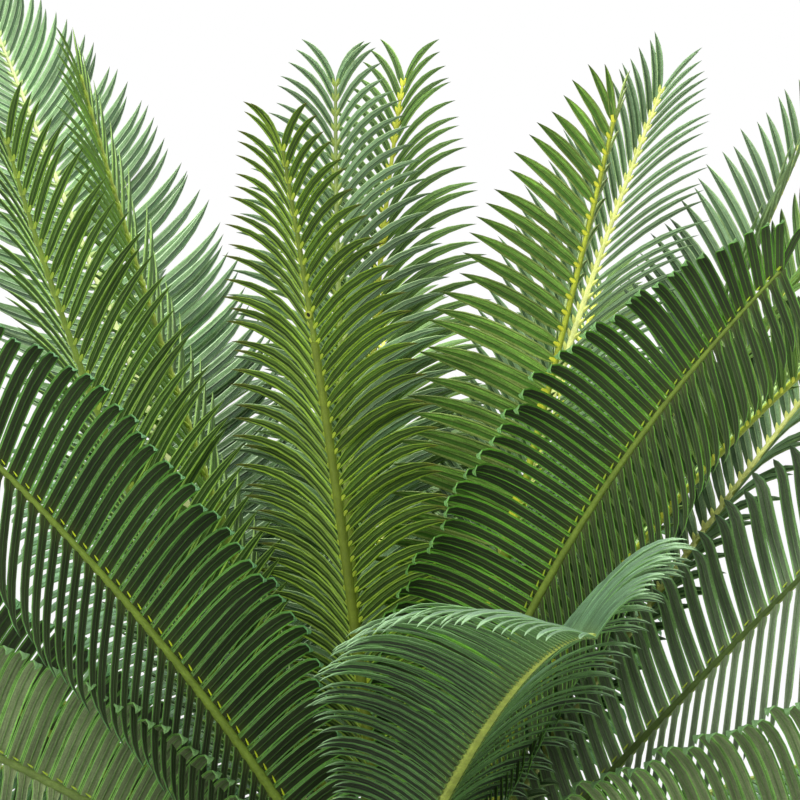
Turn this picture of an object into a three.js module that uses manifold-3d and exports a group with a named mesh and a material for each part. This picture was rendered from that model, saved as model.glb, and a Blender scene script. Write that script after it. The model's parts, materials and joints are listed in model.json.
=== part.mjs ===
// An artificial sago palm: a short scaly trunk and a full crown of stiff moulded fronds.
// Millimetres, +Z up, the origin at the middle of the flat cut under the trunk, front towards -Y.
import * as THREE from "three";
import Module from "manifold-3d";

// Trunk
const TRUNK_NECK_RADIUS = 52;
const TRUNK_SWELL = 14;
const FLARE = 18;
const FLARE_HEIGHT = 30;
const NECK_HEIGHT = 212;
const SCALE_RELIEF = 6;
const SCALES_ROUND = 13;
const SCALE_ROWS = 15;
const CUT_EDGE_HEIGHT = 3;

// Crown ball, where every frond is plugged in
const BALL_RADIUS = 46;
const BALL_Z = 225;
const SEAT_GAP = 0.68;
const SEAT_RISES = [70, 44, 15];
const BALL_RINGS = [2, 15, 30, 44, 57, 70, 82];

// Ribs
const RIB_WIDTH = 9;
const RIB_DEPTH = 7.5;
const RIB_TIP = 2.4;
const RIB_STATIONS_BELOW_LEAFLETS = 3;
const RIB_STEPS_A_STATION = 4;

// Leaflets
const FULL_FROND = 700;
const LEAFLET_LENGTH = 116;
const LEAFLET_STEPS = 5;
const FIRST_LEAFLET = 0.16;
const TEETH_A_SIDE = 18;
const TOOTH_FILL = 0.78;
const TOOTH_THICKNESS = 2.6;
const TOOTH_SHOULDER = 0.6;
const TOOTH_CLEARANCE = 0.5;
const TOOTH_SIZES = [1, 0.8, 0.6, 0.4, 0.25];

// A leaflet's length by its place: short at the first, full soon above it, shorter towards the tip
const LENGTH_AT_FIRST = 0.55;
const LENGTH_GAIN = 1.8;
const FADE_FROM = 0.6;
const FADE_DEPTH = 0.55;
const FADE_POWER = 1.6;

// The angle between rib and leaflets, as a share of the frond's spread: wide at the first leaflet,
// closing slowly, and closing fast just before the tip
const SWEEP_AT_FIRST = 1.08;
const SWEEP_SLOW_LOSS = 0.14;
const SWEEP_TIP_LOSS = 0.5;
const SWEEP_TIP_POWER = 5;

// How a leaflet stands on its rib, in degrees: its lift over the blade, the droop it gains by its
// tip, how late along its length it curves, and how far it bends towards the rib's tip. Then how
// far, from 0 to 1, the lower row of a frond that lies on its side gives way to its own weight.
const POSTURES = {
  upright: { lift: 30, droop: 40, late: 1.6, bend: -18, fall: 0 },
  bowed: { lift: 26, droop: 45, late: 1.4, bend: -40, fall: 0 },
  folded: { lift: 46, droop: 24, late: 1.6, bend: -16, fall: 0 },
  flat: { lift: 4, droop: 24, late: 1.6, bend: -20, fall: 0 },
  arching: { lift: -22, droop: 35, late: 2.2, bend: 0, fall: 0 },
  hooked: { lift: -22, droop: 75, late: 3, bend: 0, fall: 0.65 },
  swept: { lift: 12, droop: 8, late: 2, bend: 25, fall: 0 },
  cupped: { lift: 42, droop: 60, late: 2, bend: 0, fall: 0 },
  raked: { lift: -22, droop: 10, late: 2, bend: 18, fall: 0.75 },
};

// A row of leaflets is the lower row of its frond once the sine of the roll passes this.
const LOWER_ROW_FROM = 0.4;

// Each frond: ring of seats, heading at the foot and at the tip (turn about the trunk, rise over
// level), length, roll of the blade at the foot and at the tip, angle between rib and leaflets,
// and posture.
const FRONDS = [
  [0, 246, 77, 238, 73, 600, 0, 0, 46, "bowed"],
  [0, 118, 75, 60, 72, 655, 0, 0, 46, "bowed"],
  [0, 122, 81, 90, 76, 640, 0, 0, 46, "bowed"],
  [0, 325, 72, 325, 75, 625, -9, -9, 76, "folded"],
  [0, 52, 68, 42, 61, 690, 40, 40, 40, "upright"],
  [0, 163, 66, 167, 74, 670, 0, 0, 46, "flat"],
  [1, 304, 67, 319, 42, 635, -82, -76, 88, "hooked"],
  [1, 220, 57, 220, 38, 650, 85, 112, 78, "hooked"],
  [1, 288, 46, 274, 8, 745, -16, 22, 84, "cupped"],
  [1, 139, 61, 140, 60, 790, -20, -20, 74, "swept"],
  [1, 26, 57, 28, 63, 690, 0, 0, 56, "folded"],
  [1, 200, 59, 200, 74, 650, 50, 50, 50, "folded"],
  [1, 338, 70, 338, 34, 690, -10, -10, 60, "upright"],
  [1, 4, 58, 4, 50, 700, 20, 20, 52, "upright"],
  [1, 17, 62, 12, 55, 690, 0, 0, 54, "upright"],
  [1, 90, 48, 90, 34, 690, 0, 0, 70, "upright"],
  [1, 122, 56, 122, 46, 600, 0, 0, 66, "upright"],
  [1, 64, 56, 62, 46, 600, 0, 0, 66, "upright"],
  [2, 322, 48, 322, 42, 640, -145, -145, 92, "raked"],
  [2, 308, 23, 314, 25, 660, -95, -95, 74, "hooked"],
  [2, 214, 37, 212, 23, 620, 92, 92, 74, "hooked"],
  [2, 200, 42, 198, 34, 660, 80, 80, 78, "hooked"],
  [2, 165, 42, 165, 24, 690, 0, 0, 78, "arching"],
  [2, 120, 38, 120, 18, 690, 0, 0, 78, "arching"],
  [2, 70, 40, 70, 18, 690, 0, 0, 78, "arching"],
  [2, 95, 24, 95, 2, 680, 0, 0, 78, "arching"],
  [2, 45, 18, 45, -8, 670, 0, 0, 78, "arching"],
  [2, 140, 20, 142, -6, 670, 0, 0, 78, "arching"],
  [2, 180, 18, 180, -6, 670, 0, 0, 78, "arching"],
  [2, 0, 24, 0, 2, 680, 0, 0, 78, "arching"],
  [2, 265, 14, 262, -14, 640, 0, 0, 78, "arching"],
  [2, 240, 16, 240, -10, 650, 0, 0, 78, "arching"],
  [2, 300, 10, 298, -14, 640, 0, 0, 78, "arching"],
  [2, 340, 14, 342, -8, 660, 0, 0, 78, "arching"],
];

// Finishes
const BARK_BROWN = { color: 0x6a5138, roughness: 0.9, metalness: 0 };
const BRIGHT_GREEN = { color: 0x4c7f3a, roughness: 0.5, metalness: 0 };
const DARK_GREEN = { color: 0x2f5a2b, roughness: 0.5, metalness: 0 };
const BRIGHT_POSTURES = ["upright", "bowed", "folded", "flat", "swept"];

const UP = new THREE.Vector3(0, 0, 1);
const DOWN = new THREE.Vector3(0, 0, -1);
const BALL_CENTRE = new THREE.Vector3(0, 0, BALL_Z);
const FULL_TURN = 360;
const QUARTER_TURN = 90;

const radians = (degrees) => THREE.MathUtils.degToRad(degrees);
const mix = (from, to, share) => from + (to - from) * share;
const outward = (turn) => new THREE.Vector3(Math.cos(radians(turn)), Math.sin(radians(turn)), 0);
const pointing = (turn, rise) =>
  outward(turn).multiplyScalar(Math.cos(radians(rise))).addScaledVector(UP, Math.sin(radians(rise)));

// Seats stand evenly round each ring, and a ring's fronds take them in the order of their headings.
function seatsOf(fronds) {
  const seats = new Map();
  SEAT_RISES.forEach((rise, ring) => {
    const members = fronds.filter((frond) => frond.ring === ring).sort((a, b) => a.turn - b.turn);
    const step = FULL_TURN / members.length;
    const start = members.reduce((sum, frond, k) => sum + frond.turn - k * step, 0) / members.length;
    members.forEach((frond, k) => seats.set(frond, pointing(start + k * step, rise)));
  });
  return seats;
}

// The rib's direction, its upper face and its side at a share u of the length.
function frameAt(frond, u) {
  const turn = mix(frond.turn, frond.tipTurn, u);
  const rise = mix(frond.rise, frond.tipRise, u);
  const along = pointing(turn, rise);
  const level = pointing(turn, rise + QUARTER_TURN);
  const side = along.clone().cross(level);
  const roll = radians(mix(frond.roll, frond.tipRoll, u));
  const face = level.multiplyScalar(Math.cos(roll)).addScaledVector(side, Math.sin(roll));
  return { along, face, side: along.clone().cross(face) };
}

// Points along the rib at the given shares of its length.
function ribPoints(frond, shares) {
  const points = [];
  const point = BALL_CENTRE.clone().addScaledVector(frond.seat, BALL_RADIUS);
  let done = 0;
  for (const share of shares) {
    const step = (share - done) / RIB_STEPS_A_STATION;
    for (let i = 0; i < RIB_STEPS_A_STATION; i += 1) {
      point.addScaledVector(frameAt(frond, done + step / 2).along, step * frond.length);
      done += step;
    }
    points.push(point.clone());
    done = share;
  }
  return points;
}

// A leaflet's length by its place on the rib, v from 0 at the lowest to 1 at the tip.
function leafletLength(frond, v) {
  const swell = Math.min(1, LENGTH_AT_FIRST + LENGTH_GAIN * v);
  const past = Math.max(0, v - FADE_FROM) / (1 - FADE_FROM);
  const fade = 1 - FADE_DEPTH * past ** FADE_POWER;
  return ((LEAFLET_LENGTH * frond.length) / FULL_FROND) * swell * fade;
}

// The angle between the rib and the leaflet at v.
function leafletSweep(frond, v) {
  const loss = SWEEP_SLOW_LOSS * v + SWEEP_TIP_LOSS * v ** SWEEP_TIP_POWER;
  return radians(frond.spread * (SWEEP_AT_FIRST - loss));
}

// A leaflet's direction at a share w of its own length, on the side +1 or -1 of the rib.
function leafletHeading(frond, frame, v, side, w) {
  const posture = POSTURES[frond.posture];
  const curve = w ** posture.late;
  const lift = radians(posture.lift - posture.droop * curve);
  const sweep = leafletSweep(frond, v) - radians(posture.bend * curve);
  const heading = frame.along
    .clone()
    .multiplyScalar(Math.cos(sweep))
    .addScaledVector(frame.side, Math.sin(sweep) * side * Math.cos(lift))
    .addScaledVector(frame.face, Math.sin(sweep) * Math.sin(lift));
  const lower = side * Math.sin(radians(frond.roll)) > LOWER_ROW_FROM;
  return lower ? heading.lerp(DOWN, posture.fall).normalize() : heading;
}

// The leaflet's middle line at the shares asked for.
function leafletLine(frond, frame, v, side, root, length, shares) {
  const point = root.clone();
  const line = [];
  let done = 0;
  for (const share of shares) {
    const step = (share - done) / LEAFLET_STEPS;
    for (let i = 0; i < LEAFLET_STEPS; i += 1) {
      point.addScaledVector(leafletHeading(frond, frame, v, side, done + step / 2), step * length);
      done += step;
    }
    line.push(point.clone());
    done = share;
  }
  return line;
}

// A closed body gathered triangle by triangle.
class Body {
  constructor() {
    this.points = [];
    this.faces = [];
  }

  add(point) {
    this.points.push(point);
    return this.points.length - 1;
  }

  face(a, b, c, flip = false) {
    this.faces.push(flip ? [a, c, b] : [a, b, c]);
  }

  quad(a, b, c, d, flip = false) {
    this.face(a, b, c, flip);
    this.face(a, c, d, flip);
  }

  geometry() {
    const geometry = new THREE.BufferGeometry();
    const values = this.points.flatMap((point) => point.toArray());
    geometry.setAttribute("position", new THREE.Float32BufferAttribute(values, 3));
    geometry.setIndex(this.faces.flat());
    geometry.computeVertexNormals();
    return geometry;
  }

  solid(wasm) {
    const vertProperties = new Float32Array(this.points.flatMap((point) => point.toArray()));
    const triVerts = new Uint32Array(this.faces.flat());
    return new wasm.Manifold(new wasm.Mesh({ numProp: 3, vertProperties, triVerts }));
  }
}

// The rib's four edge lines: upper and lower, on the left (-1) and right (+1) of its middle.
function ribEdges(frond, shares) {
  const middles = ribPoints(frond, shares);
  return shares.map((share, k) => {
    const frame = frameAt(frond, share);
    const halfWidth = mix(RIB_WIDTH, RIB_TIP, share) / 2;
    const halfDepth = mix(RIB_DEPTH, RIB_TIP, share) / 2;
    const corner = (side, level) =>
      middles[k]
        .clone()
        .addScaledVector(frame.side, side * halfWidth)
        .addScaledVector(frame.face, level * halfDepth);
    return { frame, middle: middles[k], corner };
  });
}

// Slides a corner of the rib's foot along the rib until it lies just off the crown ball.
function footOnBall(corner, along) {
  const reach = BALL_RADIUS + SEAT_GAP;
  const from = corner.clone().sub(BALL_CENTRE);
  const across = from.dot(along);
  const slide = -across + Math.sqrt(across ** 2 - from.lengthSq() + reach ** 2);
  return corner.clone().addScaledVector(along, slide);
}

// Where the rib's cross-sections stand: a few below the leaflets, then one on each side of a tooth.
function stationShares() {
  const shares = [];
  for (let k = 0; k < RIB_STATIONS_BELOW_LEAFLETS; k += 1) {
    shares.push((FIRST_LEAFLET * k) / RIB_STATIONS_BELOW_LEAFLETS);
  }
  for (let k = 0; k <= TEETH_A_SIDE; k += 1) {
    shares.push(mix(FIRST_LEAFLET, 1, k / TEETH_A_SIDE));
  }
  return shares;
}

// A tooth's own points: the two edges and the ridge at its shoulder, and its tip.
function toothPoints(frond, stations, k, side, size) {
  const first = RIB_STATIONS_BELOW_LEAFLETS;
  const v = (k - first + 0.5) / TEETH_A_SIDE;
  const u = mix(FIRST_LEAFLET, 1, v);
  const frame = frameAt(frond, u);
  const root = stations[k].middle.clone().lerp(stations[k + 1].middle, 0.5);
  root.addScaledVector(frame.side, (side * mix(RIB_WIDTH, RIB_TIP, u)) / 2);
  const length = leafletLength(frond, v) * size;
  const [shoulder, tip] = leafletLine(frond, frame, v, side, root, length, [TOOTH_SHOULDER, 1]);
  const heading = leafletHeading(frond, frame, v, side, TOOTH_SHOULDER);
  const across = frame.along.clone().addScaledVector(heading, -frame.along.dot(heading)).normalize();
  const pitch = ((1 - FIRST_LEAFLET) * frond.length) / TEETH_A_SIDE;
  const halfWidth = (TOOTH_FILL * pitch * Math.sin(frame.along.angleTo(heading))) / 2;
  const upright = heading.clone().cross(across).multiplyScalar(side);
  return {
    near: shoulder.clone().addScaledVector(across, -halfWidth),
    far: shoulder.clone().addScaledVector(across, halfWidth),
    ridge: shoulder.clone().addScaledVector(upright, TOOTH_THICKNESS),
    tip,
    across,
    upright,
    heading,
  };
}

// Adds a tooth on the four root points low, high (towards the foot), high, low (towards the tip).
function addTooth(body, root, points, flip) {
  const [lowNear, highNear, highFar, lowFar] = root;
  const near = body.add(points.near);
  const far = body.add(points.far);
  const ridge = body.add(points.ridge);
  const tip = body.add(points.tip);
  body.face(highNear, ridge, near, flip);
  body.face(highNear, highFar, ridge, flip);
  body.face(highFar, far, ridge, flip);
  body.face(lowFar, lowNear, near, flip);
  body.face(lowFar, near, far, flip);
  body.face(lowNear, highNear, near, flip);
  body.face(highFar, lowFar, far, flip);
  body.face(near, ridge, tip, flip);
  body.face(ridge, far, tip, flip);
  body.face(far, near, tip, flip);
}

// The room one tooth needs: its own space with the clearance all round.
function toothRoom(stations, k, side, points) {
  const body = new Body();
  const spread = points.across.clone().multiplyScalar(TOOTH_CLEARANCE);
  const above = points.upright.clone().multiplyScalar(TOOTH_THICKNESS + TOOTH_CLEARANCE);
  const below = points.upright.clone().multiplyScalar(-TOOTH_CLEARANCE);
  const ring = (near, far) => [
    body.add(near.clone().sub(spread).add(below)),
    body.add(near.clone().sub(spread).add(above)),
    body.add(far.clone().add(spread).add(above)),
    body.add(far.clone().add(spread).add(below)),
  ];
  const root = [
    body.add(stations[k].corner(side, -1)),
    body.add(stations[k].corner(side, 1)),
    body.add(stations[k + 1].corner(side, 1)),
    body.add(stations[k + 1].corner(side, -1)),
  ];
  const shoulder = ring(points.near, points.far);
  const tip = body.add(points.tip.clone().addScaledVector(points.heading, TOOTH_CLEARANCE));
  const flip = side > 0;
  body.quad(root[0], root[3], root[2], root[1], flip);
  for (let i = 0; i < 4; i += 1) {
    const next = (i + 1) % 4;
    body.quad(root[i], root[next], shoulder[next], shoulder[i], flip);
    body.face(shoulder[i], shoulder[next], tip, flip);
  }
  return body;
}

// The whole frond from its stations and the teeth that found room.
function frondBody(frond, stations, teeth) {
  const body = new Body();
  const corners = stations.map((station, k) => {
    const place = (side, level) => {
      const corner = station.corner(side, level);
      return body.add(k === 0 ? footOnBall(corner, station.frame.along) : corner);
    };
    return { left: [place(-1, -1), place(-1, 1)], right: [place(1, -1), place(1, 1)] };
  });
  for (let k = 0; k + 1 < corners.length; k += 1) {
    const here = corners[k];
    const next = corners[k + 1];
    body.quad(here.left[1], here.right[1], next.right[1], next.left[1]);
    body.quad(here.right[0], here.left[0], next.left[0], next.right[0]);
    for (const side of [-1, 1]) {
      const name = side < 0 ? "left" : "right";
      const root = [here[name][0], here[name][1], next[name][1], next[name][0]];
      const points = teeth.get(`${k} ${side}`);
      if (points) {
        addTooth(body, root, points, side > 0);
      } else {
        body.quad(root[0], root[3], root[2], root[1], side < 0);
      }
    }
  }
  const foot = corners[0];
  body.quad(foot.left[0], foot.right[0], foot.right[1], foot.left[1]);
  const last = corners[corners.length - 1];
  const end = stations[stations.length - 1];
  const tip = body.add(end.middle.clone().addScaledVector(end.frame.along, leafletLength(frond, 1)));
  body.face(last.left[0], tip, last.right[0]);
  body.face(last.right[0], tip, last.right[1]);
  body.face(last.right[1], tip, last.left[1]);
  body.face(last.left[1], tip, last.left[0]);
  return body;
}

// Each tooth takes the largest size that leaves every other frond clear, or is left out.
function growTeeth(wasm, frond, stations, others) {
  const teeth = new Map();
  for (let k = RIB_STATIONS_BELOW_LEAFLETS; k + 1 < stations.length; k += 1) {
    for (const side of [-1, 1]) {
      for (const size of TOOTH_SIZES) {
        const points = toothPoints(frond, stations, k, side, size);
        const room = toothRoom(stations, k, side, points).solid(wasm);
        const box = boxOf(room);
        const clear = others.every((other) => !box.intersectsBox(other.box) || apart(room, other.solid));
        room.delete();
        if (clear) {
          teeth.set(`${k} ${side}`, points);
          break;
        }
      }
    }
  }
  return teeth;
}

// The box round a solid, which spares most of the cuts.
function boxOf(solid) {
  const { min, max } = solid.boundingBox();
  return new THREE.Box3(new THREE.Vector3(...min), new THREE.Vector3(...max));
}

// Whether two solids share no space.
function apart(one, other) {
  const shared = one.intersect(other);
  const empty = shared.isEmpty();
  shared.delete();
  return empty;
}

// The trunk: rings of points whose every other one stands out, which leaves rows of diamond scales,
// then the smooth crown ball.
function trunkGeometry() {
  const round = SCALES_ROUND * 2;
  const rings = [];
  const ring = (radius, height, relief, row) => {
    const points = [];
    for (let j = 0; j < round; j += 1) {
      const proud = relief * ((row + j) % 2);
      points.push(outward((FULL_TURN * j) / round).multiplyScalar(radius + proud).setZ(height));
    }
    rings.push(points);
  };
  const radiusAt = (height) => {
    const swell = TRUNK_SWELL * Math.sin(Math.PI * Math.sqrt(height / NECK_HEIGHT)) ** 2;
    return TRUNK_NECK_RADIUS + swell + FLARE * Math.exp(-height / FLARE_HEIGHT);
  };
  ring(radiusAt(0) + SCALE_RELIEF / 2, 0, 0, 0);
  for (let row = 0; row <= SCALE_ROWS; row += 1) {
    const height = mix(CUT_EDGE_HEIGHT, NECK_HEIGHT, row / SCALE_ROWS);
    ring(radiusAt(height), height, SCALE_RELIEF * Math.min(1, (SCALE_ROWS - row) / 2), row);
  }
  for (const rise of BALL_RINGS) {
    ring(BALL_RADIUS * Math.cos(radians(rise)), BALL_Z + BALL_RADIUS * Math.sin(radians(rise)), 0, 0);
  }
  const body = new Body();
  const indices = rings.map((points) => points.map((point) => body.add(point)));
  const foot = body.add(new THREE.Vector3(0, 0, 0));
  const top = body.add(new THREE.Vector3(0, 0, BALL_Z + BALL_RADIUS));
  const last = indices[indices.length - 1];
  for (let j = 0; j < round; j += 1) {
    const next = (j + 1) % round;
    body.face(foot, indices[0][next], indices[0][j]);
    body.face(top, last[j], last[next]);
    for (let i = 0; i + 1 < indices.length; i += 1) {
      const low = indices[i];
      const high = indices[i + 1];
      body.quad(low[j], low[next], high[next], high[j]);
    }
  }
  return body.geometry();
}

const wasm = await Module();
wasm.setup();

const fronds = FRONDS.map((row) => {
  const [ring, turn, rise, tipTurn, tipRise, length, roll, tipRoll, spread, posture] = row;
  return { ring, turn, rise, tipTurn, tipRise, length, roll, tipRoll, spread, posture };
});
const seats = seatsOf(fronds);
const shares = stationShares();
const grown = fronds.map((frond) => {
  frond.seat = seats.get(frond);
  const stations = ribEdges(frond, shares);
  const solid = frondBody(frond, stations, new Map()).solid(wasm);
  return { frond, stations, solid, box: boxOf(solid) };
});

const palm = new THREE.Group();
palm.name = "sago_palm";

const trunk = new THREE.Mesh(trunkGeometry(), new THREE.MeshStandardMaterial(BARK_BROWN));
trunk.name = "trunk";
palm.add(trunk);

grown.forEach((entry, index) => {
  const others = grown.filter((other) => other !== entry);
  const teeth = growTeeth(wasm, entry.frond, entry.stations, others);
  const body = frondBody(entry.frond, entry.stations, teeth);
  entry.solid.delete();
  entry.solid = body.solid(wasm);
  entry.box = boxOf(entry.solid);
  const bright = BRIGHT_POSTURES.includes(entry.frond.posture);
  const green = new THREE.MeshStandardMaterial(bright ? BRIGHT_GREEN : DARK_GREEN);
  const mesh = new THREE.Mesh(body.geometry(), green);
  mesh.name = `frond_${String(index + 1).padStart(2, "0")}`;
  palm.add(mesh);
});

export default palm;
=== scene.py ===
"""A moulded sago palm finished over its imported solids: leaflets, ribs, crown, bark and a studio."""

import json
import math
import random
from collections import namedtuple
from math import cos, radians, sin

import bpy
import numpy as np
from bpy.props import FloatProperty, FloatVectorProperty, IntProperty, PointerProperty
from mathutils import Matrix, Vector
from mathutils.kdtree import KDTree

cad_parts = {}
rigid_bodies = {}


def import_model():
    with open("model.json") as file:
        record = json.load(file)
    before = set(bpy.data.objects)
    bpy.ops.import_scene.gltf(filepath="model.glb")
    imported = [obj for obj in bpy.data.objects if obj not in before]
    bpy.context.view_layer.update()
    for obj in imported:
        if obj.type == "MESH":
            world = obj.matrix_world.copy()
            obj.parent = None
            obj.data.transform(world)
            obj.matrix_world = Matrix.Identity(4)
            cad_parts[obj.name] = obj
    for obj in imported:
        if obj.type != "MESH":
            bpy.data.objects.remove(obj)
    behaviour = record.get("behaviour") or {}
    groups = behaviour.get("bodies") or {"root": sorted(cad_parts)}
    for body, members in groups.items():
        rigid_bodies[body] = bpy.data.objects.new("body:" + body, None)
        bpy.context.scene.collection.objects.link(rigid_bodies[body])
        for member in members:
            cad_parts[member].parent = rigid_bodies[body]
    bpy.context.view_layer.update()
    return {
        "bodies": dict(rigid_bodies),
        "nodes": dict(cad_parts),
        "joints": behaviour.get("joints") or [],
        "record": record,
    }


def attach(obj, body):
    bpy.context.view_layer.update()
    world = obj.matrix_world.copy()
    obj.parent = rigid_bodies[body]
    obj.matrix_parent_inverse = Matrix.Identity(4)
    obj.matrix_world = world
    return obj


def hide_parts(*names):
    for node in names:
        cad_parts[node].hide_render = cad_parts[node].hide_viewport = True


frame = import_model()

bl_info = {
    "name": "Sago palm",
    "version": (1, 0, 0),
    "blender": (4, 5, 0),
    "location": "View3D > Sidebar > Sago palm",
    "description": "Leaflets, ribs, crown, bark and studio for a moulded sago palm",
    "category": "Add Mesh",
}

MM = 0.001
FULL_TURN = 360
QUARTER_TURN = 90
UP = Vector((0, 0, 1))
DOWN = Vector((0, 0, -1))

# Trunk, crown ball and its rings of seats, as in the solids
TRUNK_NECK_RADIUS = 52 * MM
TRUNK_SWELL = 14 * MM
FLARE = 18 * MM
FLARE_HEIGHT = 30 * MM
NECK_HEIGHT = 212 * MM
BALL_RADIUS = 46 * MM
BALL_Z = 225 * MM
SEAT_RISES = (70, 44, 15)

# Ribs
RIB_WIDTH = 9 * MM
RIB_DEPTH = 7.5 * MM
RIB_TIP = 2.4 * MM
RIB_STATIONS = 56
RIB_FULLNESS = 1.25

# Leaflets
FULL_FROND = 700 * MM
FIRST_LEAFLET = 0.16
LENGTH_AT_FIRST = 0.55
LENGTH_GAIN = 1.8
FADE_FROM = 0.6
FADE_DEPTH = 0.55
FADE_POWER = 1.6
SWEEP_AT_FIRST = 1.08
SWEEP_SLOW_LOSS = 0.14
SWEEP_TIP_LOSS = 0.5
SWEEP_TIP_POWER = 5

# How a leaflet stands on its rib, in degrees: lift over the blade, droop gained by the tip, how
# late along its length it curves, its bend towards the rib's tip, and how far from 0 to 1 the lower
# row of a rolled frond gives way to its weight, as in the solids. Then what the finer leaflets
# add: the hook at the very tip, the pitch in mm, the width as a share of the pitch, whether
# neighbours join in a web, and the slot.
Posture = namedtuple("Posture", "lift droop late bend fall hook pitch fill webbed slot")
POSTURES = {
    "upright": Posture(30, 40, 1.6, -18, 0, 0, 11.6, 1.02, False, "upright_fronds"),
    "bowed": Posture(26, 45, 1.4, -40, 0, 0, 12.0, 0.96, False, "upright_fronds"),
    "folded": Posture(46, 24, 1.6, -16, 0, 0, 12.6, 0.92, False, "upright_fronds"),
    "flat": Posture(4, 24, 1.6, -20, 0, 0, 12.4, 0.74, False, "upright_fronds"),
    "arching": Posture(-22, 35, 2.2, 0, 0, 50, 13.0, 0.94, True, "arching_fronds"),
    "hooked": Posture(-22, 75, 3, 0, 0.65, 75, 13.0, 1.02, True, "arching_fronds"),
    "swept": Posture(12, 8, 2, 25, 0, 0, 10.6, 1.10, False, "upright_fronds"),
    "cupped": Posture(42, 60, 2, 0, 0, 20, 12.0, 1.0, True, "arching_fronds"),
    "raked": Posture(-22, 10, 2, 18, 0.75, 95, 14.0, 0.97, True, "arching_fronds"),
}

# A row of leaflets is the lower row of its frond once the sine of the roll passes this.
LOWER_ROW_FROM = 0.4

# Each frond: ring of seats, heading at the foot and at the tip (turn about the trunk, rise over
# level), length in mm, roll of the blade at the foot and at the tip, angle between rib and
# leaflets, posture and tint.
FRONDS = (
    (0, 246, 77, 238, 73, 600, 0, 0, 46, "bowed", "spring"),
    (0, 118, 75, 60, 72, 655, 0, 0, 46, "bowed", "moss"),
    (0, 122, 81, 90, 76, 640, 0, 0, 46, "bowed", "mist"),
    (0, 325, 72, 325, 75, 625, -9, -9, 76, "folded", "olive"),
    (0, 52, 68, 42, 61, 690, 40, 40, 40, "upright", "pale"),
    (0, 163, 66, 167, 74, 670, 0, 0, 46, "flat", "fern"),
    (1, 304, 67, 319, 42, 635, -82, -76, 88, "hooked", "grove"),
    (1, 220, 57, 220, 38, 650, 85, 112, 78, "hooked", "forest"),
    (1, 288, 46, 274, 8, 745, -16, 22, 84, "cupped", "deep"),
    (1, 139, 61, 140, 60, 790, -20, -20, 74, "swept", "ashen"),
    (1, 26, 57, 28, 63, 690, 0, 0, 56, "folded", "pale"),
    (1, 200, 59, 200, 74, 650, 50, 50, 50, "folded", "fern"),
    (1, 338, 70, 338, 34, 690, -10, -10, 60, "upright", "moss"),
    (1, 4, 58, 4, 50, 700, 20, 20, 52, "upright", "pale"),
    (1, 17, 62, 12, 55, 690, 0, 0, 54, "upright", "moss"),
    (1, 90, 48, 90, 34, 690, 0, 0, 70, "upright", "moss"),
    (1, 122, 56, 122, 46, 600, 0, 0, 66, "upright", "pale"),
    (1, 64, 56, 62, 46, 600, 0, 0, 66, "upright", "moss"),
    (2, 322, 48, 322, 42, 640, -145, -145, 92, "raked", "dusk"),
    (2, 308, 23, 314, 25, 660, -95, -95, 74, "hooked", "sage"),
    (2, 214, 37, 212, 23, 620, 92, 92, 74, "hooked", "sage"),
    (2, 200, 42, 198, 34, 660, 80, 80, 78, "hooked", "forest"),
    (2, 165, 42, 165, 24, 690, 0, 0, 78, "arching", "forest"),
    (2, 120, 38, 120, 18, 690, 0, 0, 78, "arching", "deep"),
    (2, 70, 40, 70, 18, 690, 0, 0, 78, "arching", "forest"),
    (2, 95, 24, 95, 2, 680, 0, 0, 78, "arching", "sage"),
    (2, 45, 18, 45, -8, 670, 0, 0, 78, "arching", "deep"),
    (2, 140, 20, 142, -6, 670, 0, 0, 78, "arching", "forest"),
    (2, 180, 18, 180, -6, 670, 0, 0, 78, "arching", "deep"),
    (2, 0, 24, 0, 2, 680, 0, 0, 78, "arching", "forest"),
    (2, 265, 14, 262, -14, 640, 0, 0, 78, "arching", "deep"),
    (2, 240, 16, 240, -10, 650, 0, 0, 78, "arching", "forest"),
    (2, 300, 10, 298, -14, 640, 0, 0, 78, "arching", "forest"),
    (2, 340, 14, 342, -8, 660, 0, 0, 78, "arching", "deep"),
)

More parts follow.
